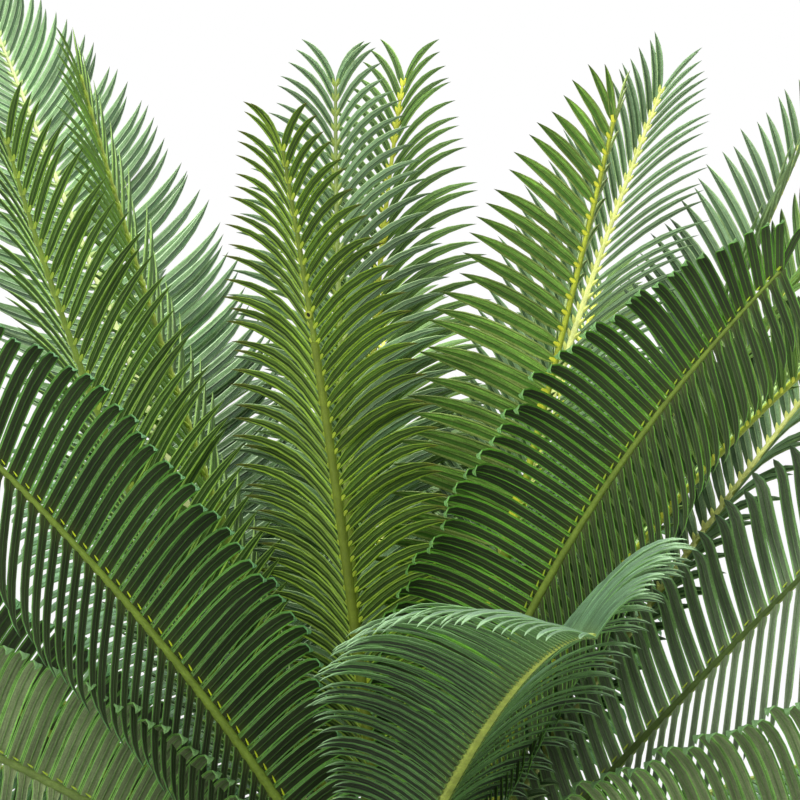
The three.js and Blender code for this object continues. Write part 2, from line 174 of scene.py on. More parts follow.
# Tints of a moulded frond, in sRGB: the leaflets' upper face and its lighter half, a painted-light
# copy of it on one half of each leaflet; the underside and its second, lighter tone, painted light on
# half of a free leaflet's and on a line along a webbed one's; the turned margin, partly its own
# yellow-green plastic and partly a painted highlight where it catches the light; then the rib above,
# its back and the leaflets' wedges
TINTS = {
    "spring": ((0.23, 0.35, 0.07), (0.34, 0.47, 0.12), (0.18, 0.28, 0.06), (0.27, 0.39, 0.10),
               (0.44, 0.56, 0.15), (0.52, 0.58, 0.20), (0.44, 0.52, 0.16), (0.62, 0.70, 0.18)),
    "fern": ((0.22, 0.35, 0.08), (0.31, 0.46, 0.13), (0.18, 0.30, 0.07), (0.27, 0.40, 0.12),
             (0.44, 0.58, 0.21), (0.56, 0.63, 0.22), (0.44, 0.54, 0.17), (0.56, 0.66, 0.19)),
    "moss": ((0.22, 0.35, 0.11), (0.37, 0.51, 0.24), (0.21, 0.33, 0.10), (0.32, 0.44, 0.18),
             (0.52, 0.64, 0.33), (0.78, 0.82, 0.26), (0.60, 0.66, 0.20), (0.83, 0.85, 0.26)),
    "olive": ((0.31, 0.45, 0.17), (0.42, 0.57, 0.26), (0.30, 0.47, 0.16), (0.45, 0.62, 0.25),
              (0.50, 0.58, 0.30), (0.62, 0.66, 0.20), (0.72, 0.77, 0.24), (0.86, 0.87, 0.24)),
    "pale": ((0.21, 0.33, 0.18), (0.43, 0.55, 0.39), (0.19, 0.29, 0.13), (0.38, 0.49, 0.30),
             (0.56, 0.66, 0.46), (0.84, 0.87, 0.52), (0.54, 0.60, 0.26), (0.82, 0.85, 0.44)),
    "mist": ((0.22, 0.34, 0.19), (0.42, 0.54, 0.38), (0.20, 0.30, 0.15), (0.38, 0.49, 0.31),
             (0.56, 0.66, 0.46), (0.48, 0.56, 0.26), (0.36, 0.45, 0.19), (0.54, 0.62, 0.26)),
    "ashen": ((0.16, 0.30, 0.13), (0.46, 0.60, 0.40), (0.14, 0.26, 0.10), (0.42, 0.55, 0.34),
              (0.70, 0.80, 0.64), (0.78, 0.82, 0.56), (0.32, 0.41, 0.20), (0.64, 0.73, 0.42)),
    "forest": ((0.21, 0.34, 0.18), (0.30, 0.44, 0.26), (0.18, 0.23, 0.12), (0.28, 0.41, 0.24),
               (0.29, 0.49, 0.15), (0.56, 0.62, 0.20), (0.50, 0.60, 0.22), (0.78, 0.86, 0.18)),
    "grove": ((0.24, 0.37, 0.20), (0.33, 0.47, 0.29), (0.19, 0.24, 0.13), (0.26, 0.42, 0.15),
              (0.34, 0.57, 0.13), (0.56, 0.62, 0.20), (0.46, 0.55, 0.20), (0.66, 0.76, 0.18)),
    "deep": ((0.30, 0.42, 0.30), (0.39, 0.52, 0.39), (0.19, 0.22, 0.17), (0.24, 0.30, 0.20),
             (0.32, 0.48, 0.25), (0.60, 0.66, 0.30), (0.74, 0.80, 0.38), (0.46, 0.56, 0.26)),
    "sage": ((0.34, 0.45, 0.32), (0.40, 0.52, 0.39), (0.50, 0.56, 0.40), (0.20, 0.26, 0.15),
             (0.46, 0.66, 0.31), (0.62, 0.70, 0.38), (0.48, 0.57, 0.29), (0.72, 0.82, 0.26)),
    "dusk": ((0.32, 0.44, 0.33), (0.44, 0.56, 0.46), (0.42, 0.48, 0.38), (0.48, 0.58, 0.42),
             (0.44, 0.62, 0.33), (0.50, 0.58, 0.26), (0.30, 0.38, 0.16), (0.76, 0.84, 0.24)),
}
FACE, FACE_LIT, UNDER, UNDER_LIT, MARGIN, RIB, BACK, WEDGE = range(8)

# The tone that a tint's leaflets run to at their tips, and how much of it: a browner tip on spring
# and olive, and on the others a pale teal that is partly the upper face's own paler colour and partly
# a painted sheen of the top light on the hooked tips
TIPS = {
    "spring": ((0.46, 0.42, 0.14), 0.6),
    "olive": ((0.34, 0.34, 0.18), 0.5),
    "forest": ((0.38, 0.60, 0.38), 0.75),
    "grove": ((0.38, 0.58, 0.28), 0.65),
    "deep": ((0.58, 0.73, 0.54), 0.85),
    "sage": ((0.46, 0.64, 0.38), 0.7),
    "dusk": ((0.40, 0.58, 0.40), 0.7),
}

# Noise scales: slow drift, flecks and fine grain of the leaflets, mottle and grain of the ribs, and
# blotches of the bark; the stretch of leaflets' streaks, of ribs' drag marks and of bark's fibres;
# the depth of each finish's relief; and how far roughness wanders either way
DRIFT, FLECK, GRAIN = 11, 520, 1500
MOTTLE, RIB_GRAIN = 70, 1300
BLOTCH = 34
STREAKED, DRAGGED, FIBROUS = (4.5, 3, 1), (5, 30, 1), (1, 1, 0.22)
LEAFLET_RELIEF, RIB_RELIEF, BARK_RELIEF = 0.7 * MM, 0.4 * MM, 1.4 * MM
SMOOTHER, ROUGHER = 0.08, 0.12

BASE_YELLOW = (0.56, 0.62, 0.18)
BASE_SHARE = 0.15
LEAFLET_SPECULAR = 0.34
SLEEVE_OLIVE = (0.44, 0.51, 0.14)
PIN_YELLOW = (0.60, 0.66, 0.20)
# The pin ring's hole is a near-black plug: painted shade for the hole's depth.
PIN_HOLE_SHADE = (0.05, 0.06, 0.03)

# The pitch in mm of fronds whose leaflets stand closer than their posture's, by number
CLOSER = {4: 11.8, 7: 10.2, 9: 11, 10: 9.4}

# Sections of a leaflet in shares of its half width: the upper face from its left to its right
# margin, then back below. A free leaflet is a shallow trough with turned-down rims; a webbed one
# is a flat strip whose right half stands under its neighbour's left margin.
FREE_SECTION = (
    (-1, -0.34), (-0.80, -0.02), (0, -0.15), (0.80, -0.02), (1, -0.34),
    (0.82, -0.44), (0.66, -0.14), (0, -0.24), (-0.66, -0.14), (-0.82, -0.44),
)
# Here and in the webbed slots below, one half of the upper face and part of the underside take the
# lit tones: painted light on one side of each leaflet.
FREE_SLOTS = (MARGIN, FACE, FACE_LIT, MARGIN, MARGIN, MARGIN, UNDER_LIT, UNDER, MARGIN, MARGIN)
WEBBED_SECTION = (
    (-1, -0.06), (-0.86, 0.07), (0.10, -0.02), (0.84, 0.08), (1, 0),
    (0.95, -0.09), (0.88, -0.11), (0.82, -0.19), (-0.79, -0.10), (-0.91, -0.20),
)
WEBBED_SLOTS = (MARGIN, FACE, FACE_LIT, MARGIN, MARGIN, UNDER_LIT, MARGIN, UNDER, MARGIN, MARGIN)
FREE_STATIONS = (0, 0.05, 0.15, 0.30, 0.46, 0.62, 0.76, 0.88, 0.95)
WEBBED_STATIONS = (0, 0.03, 0.055, 0.085, 0.16, 0.30, 0.46, 0.60, 0.72, 0.82, 0.90, 0.96)

# How far a webbed leaflet turns under its neighbour in degrees, the width of a lower row's
# leaflets against the others, where a web ends, and a free leaflet's neck
SHINGLE = -8
LOWER_FILL = 0.74
WEB_FROM, WEB_TO = 0.035, 0.085
NECK_SHARE, NECK_END = 0.42, 0.16

# Where along a leaflet its hook and its taper start, and how they go on
HOOK_FROM, HOOK_POWER = 0.80, 1.4
WEBBED_TAPER, WEBBED_BLUNTNESS = 0.66, 3
FREE_TAPER, FREE_BLUNTNESS = 0.52, 1.8

# How far from the rib's middle a leaflet is rooted in widths of the rib, how near it comes to other
# ribs and how short it may be cut for them, the least slant its width counts with, the share of its
# thickness that a point keeps, and units of the Flat map to 1 m
LEAFLET_ROOT = 0.3
RIB_ROOM = 8 * MM
SHORTEST_LEAFLET = 0.35
LEAST_SLANT = 0.5
POINT_THICKNESS = 0.15
FLAT_SCALE = 10

# Scatter of the leaflets: of the angle to the rib in degrees where they are webbed and where they
# are free, of the lift against that, of the length as a share and of the twist in degrees; then the
# length of the one that ends a frond as a share, and its angle to the rib
LEAFLET_SEED = 1000
WEBBED_SWAY, FREE_SWAY = 1.4, 2.6
LIFT_SWAY = 1.5
LENGTHS = (0.93, 1.02)
TWIST = 10
LAST_LENGTH, LAST_SWEEP = 0.9, 16


def mix(low, high, share):
    """The value at a share of the way from low to high."""
    return low + (high - low) * share


def smooth(low, high, value):
    """0 below low, 1 above high, and an easy rise between."""
    share = min(1, max(0, (value - low) / (high - low)))
    return share * share * (3 - 2 * share)


def beyond(start, value):
    """How far the value is past the start, as a share of the way from there to 1."""
    return max(0, value - start) / (1 - start)


def swing(one, other, angle):
    """The direction one, turned by an angle in radians towards the other, square to it."""
    return one * cos(angle) + other * sin(angle)


def squared(one, other):
    """The direction one made square to the other."""
    return (one - other * one.dot(other)).normalized()


def outward(turn):
    """The level direction at a turn about the trunk."""
    return Vector((cos(radians(turn)), sin(radians(turn)), 0))


def pointing(turn, rise):
    """The direction at a turn about the trunk and a rise over level."""
    return swing(outward(turn), UP, radians(rise))


class Frond:
    """One frond's numbers, its seat on the crown ball and its rib."""

    def __init__(self, number, row):
        self.number = number
        self.node = f"frond_{number:02d}"
        (self.ring, self.turn, self.rise, self.tip_turn, self.tip_rise, length,
         self.roll, self.tip_roll, self.spread, posture, self.tint) = row
        self.posture = POSTURES[posture]
        self.length = length * MM
        self.seat = None
        self.middles = None

    def frame_at(self, u):
        """The rib's direction, its upper face and its side at a share u of the length."""
        turn = mix(self.turn, self.tip_turn, u)
        rise = mix(self.rise, self.tip_rise, u)
        roll = radians(mix(self.roll, self.tip_roll, u))
        along = pointing(turn, rise)
        level = pointing(turn, rise + QUARTER_TURN)
        face = swing(level, along.cross(level), roll)
        return along, face, along.cross(face)

    def trace(self):
        """Lays the rib's middle line from its seat, in even steps."""
        point = UP * BALL_Z + self.seat * BALL_RADIUS
        self.middles = [point.copy()]
        step = 1 / RIB_STATIONS
        for k in range(RIB_STATIONS):
            along, _, _ = self.frame_at((k + 0.5) * step)
            point = point + along * (step * self.length)
            self.middles.append(point)

    def middle_at(self, u):
        """The rib's middle at a share u of its length."""
        place = min(max(u, 0), 1) * RIB_STATIONS
        k = min(int(place), RIB_STATIONS - 1)
        return self.middles[k].lerp(self.middles[k + 1], place - k)

    def leaflet_length(self, v, full):
        """A leaflet's length by its place on the rib, v from 0 at the lowest to 1 at the tip."""
        swell = min(1, LENGTH_AT_FIRST + LENGTH_GAIN * v)
        fade = 1 - FADE_DEPTH * beyond(FADE_FROM, v) ** FADE_POWER
        return full * self.length / FULL_FROND * swell * fade

    def leaflet_sweep(self, v):
        """The angle in degrees between the rib and the leaflet at v."""
        loss = SWEEP_SLOW_LOSS * v + SWEEP_TIP_LOSS * v ** SWEEP_TIP_POWER
        return self.spread * (SWEEP_AT_FIRST - loss)


def plant_fronds():
    """All fronds, seated evenly round each ring in the order of their headings."""
    fronds = [Frond(number, row) for number, row in enumerate(FRONDS, 1)]
    for ring, rise in enumerate(SEAT_RISES):
        members = sorted((f for f in fronds if f.ring == ring), key=lambda f: f.turn)
        step = FULL_TURN / len(members)
        start = sum(f.turn - k * step for k, f in enumerate(members)) / len(members)
        for k, frond in enumerate(members):
            frond.seat = pointing(start + k * step, rise)
            frond.trace()
    return fronds


def by_slot(fronds):
    """Each slot, the word for its kind, and its fronds."""
    for kind in ("upright", "arching"):
        slot = f"{kind}_fronds"
        yield slot, kind, [f for f in fronds if f.posture.slot == slot]


def rib_tree(fronds):
    """A search tree of all rib middles, and the frond each belongs to."""
    owners = []
    tree = KDTree(len(fronds) * (RIB_STATIONS + 1))
    for frond in fronds:
        for middle in frond.middles:
            tree.insert(middle, len(owners))
            owners.append(frond.number)
    tree.balance()
    return tree, owners


class Shell:
    """A mesh gathered ring by ring. Each point has a place on two maps: Flat, across and along
    in the surface, and Place, its share along the part and a chance value of the part."""

    def __init__(self):
        self.points = []
        self.flat = []
        self.place = []
        self.faces = []
        self.slots = []

    def add(self, points, flat=None, place=(0, 0)):
        """Adds points and returns the number of the first."""
        first = len(self.points)
        self.points.extend(points)
        self.flat.extend(flat or [(0, 0)] * len(points))
        self.place.extend([place] * len(points))
        return first

    def ring(self, middle, side, face, width, depth, section, place, flat=None):
        """Adds a section laid across the part at its middle."""
        points = [middle + side * (x * width) + face * (z * depth) for x, z in section]
        return self.add(points, flat, place)

    def face(self, corners, slot=0, flip=False):
        """Adds one face, turned over if flip is set."""
        self.faces.append(tuple(reversed(corners)) if flip else tuple(corners))
        self.slots.append(slot)

    def band(self, low, high, count, slots, flip=False):
        """Joins two rings of count points, with one material for each place round the ring."""
        for i in range(count):
            j = (i + 1) % count
            self.face((low + i, low + j, high + j, high + i), slots[i], flip)

    def fan(self, ring, count, point, slots, flip=False):
        """Closes a ring of count points on one point."""
        for i in range(count):
            self.face((ring + i, ring + (i + 1) % count, point), slots[i], flip)

    def run(self, rings, count, slots, cap, flip=False, tip=None):
        """Joins rings of count points in order, with a cap at the start, and one at the end or
        a fan onto the tip."""
        self.face([rings[0] + i for i in range(count)], cap, not flip)
        for low, high in zip(rings, rings[1:]):
            self.band(low, high, count, slots, flip)
        if tip is None:
            self.face([rings[-1] + i for i in range(count)], cap, flip)
        else:
            self.fan(rings[-1], count, tip, slots, flip)

    def piece(self, name, materials, sharp=40):
        """Makes the object with the materials that it uses, smooth but for edges sharper than the
        given angle."""
        mesh = bpy.data.meshes.new(name)
        mesh.from_pydata(self.points, [], self.faces)
        used, slots = np.unique(self.slots, return_inverse=True)
        for slot in used:
            mesh.materials.append(materials[slot])
        mesh.polygons.foreach_set("material_index", slots.astype(np.int32).ravel())
        corners = np.empty(len(mesh.loops), dtype=np.int32)
        mesh.loops.foreach_get("vertex_index", corners)
        for title, values in (("Flat", self.flat), ("Place", self.place)):
            layer = mesh.uv_layers.new(name=title)
            layer.data.foreach_set("uv", np.array(values, dtype=np.float32)[corners].ravel())
        mesh.shade_smooth()
        mesh.set_sharp_from_angle(angle=radians(sharp))
        mesh.validate()
        mesh.update()
        made = bpy.data.objects.new(name, mesh)
        bpy.context.scene.collection.objects.link(made)
        return made


def seat_piece(piece, nodes):
    """Rides the piece on the plant's one body, in place of the nodes."""
    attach(piece, "root")
    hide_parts(*nodes)


def linear(colour):
    """An sRGB colour as the linear colour that shaders take."""
    parts = [c / 12.92 if c <= 0.04045 else ((c + 0.055) / 1.055) ** 2.4 for c in colour]
    return (*parts, 1)


def scaled(colour, factor):
    """A linear colour made lighter or darker."""
    return (*(min(1, c * factor) for c in colour[:3]), 1)


class Finish:
    """A node material on a Principled shader."""

    def __init__(self, name, roughness=0.5):
        self.material = bpy.data.materials.new(name)
        self.material.use_nodes = True
        self.tree = self.material.node_tree
        self.shader = self.tree.nodes["Principled BSDF"]
        self.shader.inputs["Roughness"].default_value = roughness

    def node(self, kind, *sources, **values):
        """A new node, its first sockets joined to the sources and others set by name."""
        made = self.tree.nodes.new(kind)
        for source, target in zip(sources, made.inputs):
            self.link(source, target)
        for key, value in values.items():
            made.inputs[key.replace("_", " ")].default_value = value
        return made

    def link(self, source, target):
        """Joins an output socket to an input socket."""
        self.tree.links.new(source, target)

    def solid_place(self, scale=(1, 1, 1)):
        """Coordinates on the object in metres, stretched by scale."""
        source = self.node("ShaderNodeTexCoord")
        return self.stretch(source.outputs["Object"], scale)

    def map_place(self, title, scale=(1, 1, 1)):
        """Coordinates of one of the piece's two maps, stretched by scale."""
        source = self.node("ShaderNodeUVMap")
        source.uv_map = title
        return self.stretch(source.outputs["UV"], scale)

    def stretch(self, vector, scale):
        """A vector socket times a scale for each axis."""
        return self.node("ShaderNodeMapping", vector, Scale=scale).outputs["Vector"]

    def part(self, vector, axis):
        """One axis of a vector socket."""
        return self.node("ShaderNodeSeparateXYZ", vector).outputs[axis]

    def distance(self, value):
        """How far a value socket is from nought."""
        made = self.node("ShaderNodeMath", value)
        made.operation = "ABSOLUTE"
        return made.outputs[0]

    def strewn(self, chance, scale):
        """The Flat map, stretched and moved by a chance value, so that no two leaflets match."""
        made = self.node("ShaderNodeVectorMath")
        made.operation = "MULTIPLY_ADD"
        made.inputs[1].default_value = (7, 31, 0)
        self.link(chance, made.inputs[0])
        self.link(self.map_place("Flat"), made.inputs[2])
        return self.stretch(made.outputs[0], scale)

    def shares(self):
        """The two values of the Place map: the share along the part, and its chance value."""
        place = self.map_place("Place")
        return self.part(place, "X"), self.part(place, "Y")

    def noise(self, scale, detail=2, roughness=0.55, where=None):
        """Noise from 0 to 1 in the solid, or at the given coordinates."""
        made = self.node("ShaderNodeTexNoise", where or self.solid_place(),
                         Scale=scale, Detail=detail, Roughness=roughness)
        return made.outputs["Fac"]

    def spread(self, value, low=0, high=1, start=0.3, end=0.7):
        """The value from start to end laid over low to high."""
        made = self.node("ShaderNodeMapRange", value,
                         From_Min=start, From_Max=end, To_Min=low, To_Max=high)
        return made.outputs["Result"]

    def sum(self, *sockets):
        """The sum of several values."""
        total = sockets[0]
        for socket in sockets[1:]:
            total = self.node("ShaderNodeMath", total, socket).outputs[0]
        return total

    def blend(self, one, other, value, *span):
        """A colour between two, each a colour or a socket, by a value laid over a span."""
        made = self.node("ShaderNodeMix")
        made.data_type = "RGBA"
        for colour, socket in ((one, made.inputs[6]), (other, made.inputs[7])):
            if isinstance(colour, tuple):
                socket.default_value = colour
            else:
                self.link(colour, socket)
        self.link(self.spread(value, *span), made.inputs[0])
        return made.outputs[2]

    def shade(self, colour, value, *span):
        """The colour, lighter or darker by a value laid over a span."""
        made = self.node("ShaderNodeHueSaturation")
        self.link(self.spread(value, *span), made.inputs["Value"])
        self.link(colour, made.inputs["Color"])
        return made.outputs["Color"]

    def relief(self, height, depth, strength=1):
        """Bump from a height socket, depth in metres."""
        made = self.node("ShaderNodeBump", Strength=strength, Distance=depth)
        self.link(height, made.inputs["Height"])
        self.link(made.outputs["Normal"], self.shader.inputs["Normal"])

    def coat(self, tone, value, roughness):
        """Sets the base colour, and a roughness that wanders about its mean with the value."""
        self.colour(tone)
        rough = self.spread(value, roughness - SMOOTHER, roughness + ROUGHER)
        self.link(rough, self.shader.inputs["Roughness"])

    def colour(self, socket):
        """Sets the base colour from a socket."""
        self.link(socket, self.shader.inputs["Base Color"])


def leaflet_finish(name, colour, margin, roughness, contrast, tip):
    """Leaflet plastic: each leaflet its own tone, lengthwise streaks, painted shade in its middle
    that runs out to painted light towards its edges, a bright line down its middle, edges that run
    towards the margin's tone, partly the plastic's own and partly a painted highlight, a base that
    runs towards a warm yellow, and a tip that runs towards a tone of its own by a share, which on the
    pale teal tints is partly a painted sheen."""
    made = Finish(name, roughness)
    base = linear(colour)
    along, chance = made.shares()
    across = made.distance(made.part(made.map_place("Flat"), "X"))
    drift = made.noise(DRIFT, 3)
    streak = made.noise(1, 4, 0.7, made.strewn(chance, STREAKED))
    fleck = made.noise(FLECK, 3, 0.7)
    fine = made.noise(GRAIN)
    tone = made.blend(scaled(base, 0.76), scaled(base, 1.14), drift)
    tone = made.shade(tone, chance, 0.78, 1.22, 0, 1)
    # Painted shade in the middle of each leaflet, painted light towards its edges
    tone = made.shade(tone, across, 0.84, 1.16, 0.15, 0.75)
    tone = made.shade(tone, streak, 1 - contrast, 1 + contrast, 0.36, 0.64)
    edge = made.blend(scaled(linear(margin), 0.7), linear(margin), streak)
    tone = made.blend(tone, edge, across, 0.6, 0, 0.03, 0.13)
    # Towards the edges, the margin's tone: partly the plastic's own, partly a painted highlight
    tone = made.blend(tone, edge, across, 0, 0.55, 0.78, 1)
    warm = made.blend(linear(BASE_YELLOW), scaled(base, 1.3), streak)
    tone = made.blend(tone, warm, along, BASE_SHARE, 0, 0.02, 0.15)
    # The tip's tone: browner on some tints, on the pale teal ones partly a painted sheen
    tone = made.blend(tone, linear(tip[0]), along, 0, tip[1], 0.83, 0.95)
    tone = made.shade(tone, fleck, 0.80, 1.20)
    tone = made.shade(tone, fine, 0.85, 1.15)
    made.coat(tone, fleck, roughness)
    made.shader.inputs["Specular IOR Level"].default_value = LEAFLET_SPECULAR
    ridge = made.spread(across, 1, 0, 0.04, 0.16)
    made.relief(made.sum(streak, ridge, made.spread(fine, 0, 0.25)), LEAFLET_RELIEF, 0.8)
    return made.material


def rib_finish(name, colour, roughness):
    """Rib plastic: mottled, with faint lengthwise drag marks and a fine grain."""
    made = Finish(name, roughness)
    base = linear(colour)
    mottle = made.noise(MOTTLE, 4)
    fine = made.noise(RIB_GRAIN)
    drag = made.noise(1, 3, where=made.map_place("Flat", DRAGGED))
    tone = made.blend(scaled(base, 0.72), scaled(base, 1.12), mottle)
    tone = made.shade(tone, drag, 0.84, 1.16)
    tone = made.shade(tone, fine, 0.86, 1.14)
    made.coat(tone, fine, roughness)
    made.relief(made.sum(mottle, drag), RIB_RELIEF, 0.6)
    return made.material


def bark_finish(name, dark, light, scale, roughness=0.88):
    """Moulded bark: fibre streaks over two browns, darker at the foot of each part and lighter on
    what stands proud.
    """
    made = Finish(name, roughness)
    fibre = made.noise(scale, 6, 0.65, made.solid_place(FIBROUS))
    blotch = made.noise(BLOTCH, 4)
    proud, chance = made.shares()
    tone = made.blend(linear(dark), linear(light), fibre)
    tone = made.shade(tone, blotch, 0.72, 1.22)
    # Darker low down between the scales and at the roots of bracts, fibres and collars, lighter on
    # what stands proud
    tone = made.shade(tone, proud, 0.55, 1.25, 0, 1)
    tone = made.shade(tone, chance, 0.82, 1.18, 0, 1)
    made.colour(tone)
    made.relief(made.sum(fibre, blotch), BARK_RELIEF, 0.9)
    return made.material


class SagoSizes(bpy.types.PropertyGroup):
    """Sizes of the leaflets, ribs, crown and trunk."""

    leaflet_length: FloatProperty(
        name="Leaflet length", description="Longest leaflet of a full frond",
        default=0.116, min=0.02, unit="LENGTH")
    sleeve_share: FloatProperty(
        name="Sleeve", description="How far up the rib the inner fronds' sleeve reaches",
        default=0.50, min=0.1, max=0.9, subtype="FACTOR")
    sleeve_wall: FloatProperty(
        name="Sleeve wall", description="Thickness of the sleeve round the rib",
        default=0.0007, min=0.0003, unit="LENGTH")
    collar_length: FloatProperty(
        name="Collar length", description="Length of the socket round a frond's foot",
        default=0.020, min=0.005, unit="LENGTH")
    bract_length: FloatProperty(
        name="Bract length", description="Length of the pointed scales on the crown",
        default=0.030, min=0.008, unit="LENGTH")
    scales_round: IntProperty(
        name="Scales round", description="Leaf bases in one turn of the trunk",
        default=13, min=5, max=40)
    scale_rows: IntProperty(
        name="Scale rows", description="Rows of leaf bases up the trunk",
        default=15, min=4, max=40)
    scale_relief: FloatProperty(
        name="Scale relief", description="How far a leaf base stands out of the trunk",
        default=0.0075, min=0.001, unit="LENGTH")
    fibres: IntProperty(
        name="Fibres", description="Loose fibres between the leaf bases",
        default=900, min=0, max=5000)


def rib_width(u):
    """The rib's width at a share u of its length, fuller in the middle than a plain taper."""
    return mix(RIB_WIDTH, RIB_TIP, u ** RIB_FULLNESS)


def rib_depth(u):
    """The rib's depth from its upper face to its back at a share u of its length."""
    return mix(RIB_DEPTH, RIB_TIP, u ** RIB_FULLNESS)


def is_lower(frond, side):
    """Whether the row on this side of a rolled frond is its lower one."""
    return side * sin(radians(frond.roll)) > LOWER_ROW_FROM


# A leaflet: its place on the rib from 0 to 1, its side of it, +1 or -1, its length, its angle to
# the rib and its change of lift in degrees, its twist in radians and a chance value of its own
Leaflet = namedtuple("Leaflet", "v side length sweep lift_change twist chance")


def leaflet_heading(frond, frame, leaflet, w):
    """The leaflet's direction at a share w of its length."""
    along, face, across = frame
    posture = frond.posture
    curve = w ** posture.late
    hook = posture.hook * beyond(HOOK_FROM, w) ** HOOK_POWER
    lift = radians(posture.lift + leaflet.lift_change - posture.droop * curve - hook)
    turn = radians(leaflet.sweep - posture.bend * curve)
    heading = swing(along, swing(across * leaflet.side, face, lift), turn)
    if is_lower(frond, leaflet.side):
        return heading.lerp(DOWN, posture.fall).normalized()
    return heading


def leaflet_width(w, webbed, fill):
    """The leaflet's half width at w as a share of its fullest: webbed ones start as wide as the
    pitch and end blunt, the others start on a neck and end in a long point."""
    if webbed:
        root = mix(1 / fill, 1, smooth(WEB_FROM, WEB_TO, w))
        return root * (1 - beyond(WEBBED_TAPER, w) ** WEBBED_BLUNTNESS)
    root = mix(NECK_SHARE, 1, sin(min(1, w / NECK_END) * math.pi / 2))
    return root * (1 - beyond(FREE_TAPER, w) ** FREE_BLUNTNESS)


def stations_of(frond):
    """Where along its length a leaflet of the frond has its sections."""
    return WEBBED_STATIONS if frond.posture.webbed else FREE_STATIONS


def leaflet_stations(frond, leaflet, root):
    """Middle, edge direction and face direction at every station, and the end of the tip."""
    frame = frond.frame_at(mix(FIRST_LEAFLET, 1, leaflet.v))
    along = frame[0]
    point = root
    done = 0
    stations = []
    for w in stations_of(frond) + (1,):
        half_way = leaflet_heading(frond, frame, leaflet, (w + done) / 2)
        point = point + half_way * ((w - done) * leaflet.length)
        done = w
        heading = leaflet_heading(frond, frame, leaflet, w)
        flat = squared(along, heading)
        rise = heading.cross(flat) * leaflet.side
        twist = leaflet.twist * w + (radians(SHINGLE) if frond.posture.webbed else 0)
        stations.append((point, swing(flat, rise, twist), swing(rise, -flat, twist)))
    return stations[:-1], stations[-1][0]


def room_share(frond, stations, ribs):
    """The share of its length that the leaflet can have before it meets another frond's rib."""
    tree, owners = ribs
    for w, (point, _, _) in zip(stations_of(frond), stations):
        for _, index, _ in tree.find_range(point, RIB_ROOM):
            if owners[index] != frond.number:
                return w
    return 1


def add_leaflet(shell, frond, leaflet, pitch, slots, ribs):
    """One leaflet, cut short where it would meet another frond's rib, and its wedge."""
    u = mix(FIRST_LEAFLET, 1, leaflet.v)
    frame = frond.frame_at(u)
    along, _, across = frame
    root = frond.middle_at(u) + across * (leaflet.side * LEAFLET_ROOT * rib_width(u))
    stations, tip = leaflet_stations(frond, leaflet, root)
    share = room_share(frond, stations, ribs)
    if share < SHORTEST_LEAFLET:
        return
    if share < 1:
        leaflet = leaflet._replace(length=leaflet.length * share)
        stations, tip = leaflet_stations(frond, leaflet, root)
    webbed = frond.posture.webbed
    lower = is_lower(frond, leaflet.side)
    fill = frond.posture.fill * (LOWER_FILL if lower else 1)
    foot = leaflet_heading(frond, frame, leaflet, 0)
    half = 0.5 * fill * pitch * max(sin(foot.angle(along)), LEAST_SLANT)
    section = WEBBED_SECTION if webbed else FREE_SECTION
    kinds = WEBBED_SLOTS if webbed else FREE_SLOTS
    count = len(section)
    # A lower row's underside and margins all take the under tone: painted shade for the row that
    # hangs in its frond's shadow.
    if lower:
        kinds = [UNDER if k > count // 2 else kinds[k] for k in range(count)]
    rings = []
    for w, (point, edge, up) in zip(stations_of(frond), stations):
        size = half * leaflet_width(w, webbed, fill)
        depth = half * min(1, size / half + POINT_THICKNESS)
        flat = [(x, w * leaflet.length * FLAT_SCALE) for x, _ in section]
        rings.append(shell.ring(
            point, edge, up, size, depth, section, (w, leaflet.chance), flat))
    end = shell.add([tip], [(0, leaflet.length * FLAT_SCALE)], (1, leaflet.chance))
    shell.run(rings, count, [slots[s] for s in kinds], slots[FACE], leaflet.side > 0, end)
    if not (webbed and lower):
        add_wedge(shell, frond, leaflet, root, foot, slots)


# The wedge where a leaflet joins its rib, which is a short dash on webbed fronds: stations along it
# in shares of its length, each with a share of its width; its section; what is left of its size at
# the frond's tip; and for each kind length, width and the share of the length behind the root. A
# dash also leans towards its leaflet, stands out along it and sinks under the rib's face.
WEDGE_STATIONS = ((0, 0.9), (0.3, 1), (0.65, 0.72), (1, 0.22))
WEDGE_SECTION = ((-0.5, 0), (-0.25, 0.34), (0.25, 0.34), (0.5, 0), (0.25, -0.34), (-0.25, -0.34))
WEDGE_AT_TIP = 0.62
WEDGE_SIZE = (10.5 * MM, 5.4 * MM, 0.12)
DASH_SIZE = (6.6 * MM, 1.7 * MM, 0.5)
DASH_LEAN, DASH_STAND, DASH_SINK = 0.15, 0.34, 0.36


def add_wedge(shell, frond, leaflet, root, foot, slots):
    """The yellow swelling at a leaflet's base: a wedge that runs out along the leaflet on the
    inner fronds, a short dash beside the rib on the arching ones."""
    along, face, across = frond.frame_at(mix(FIRST_LEAFLET, 1, leaflet.v))
    size = mix(1, WEDGE_AT_TIP, leaflet.v)
    heading, beside = foot, along
    length, width, back = WEDGE_SIZE
    if frond.posture.webbed:
        heading, beside = (along + foot * DASH_LEAN).normalized(), across
        length, width, back = DASH_SIZE
        root = root + (foot * DASH_STAND - face * DASH_SINK) * (RIB_WIDTH * size)
    length, width = length * size, width * size
    start = root - heading * (back * length)
    edge = squared(beside, heading)
    up = heading.cross(edge)
    count = len(WEDGE_SECTION)
    rings = []
    for share, wide in WEDGE_STATIONS:
        point = start + heading * (share * length)
        rings.append(shell.ring(
            point, edge, up, width * wide, width * wide, WEDGE_SECTION, (share, leaflet.chance)))
    shell.run(rings, count, [slots[WEDGE]] * count, slots[WEDGE], flip=True)


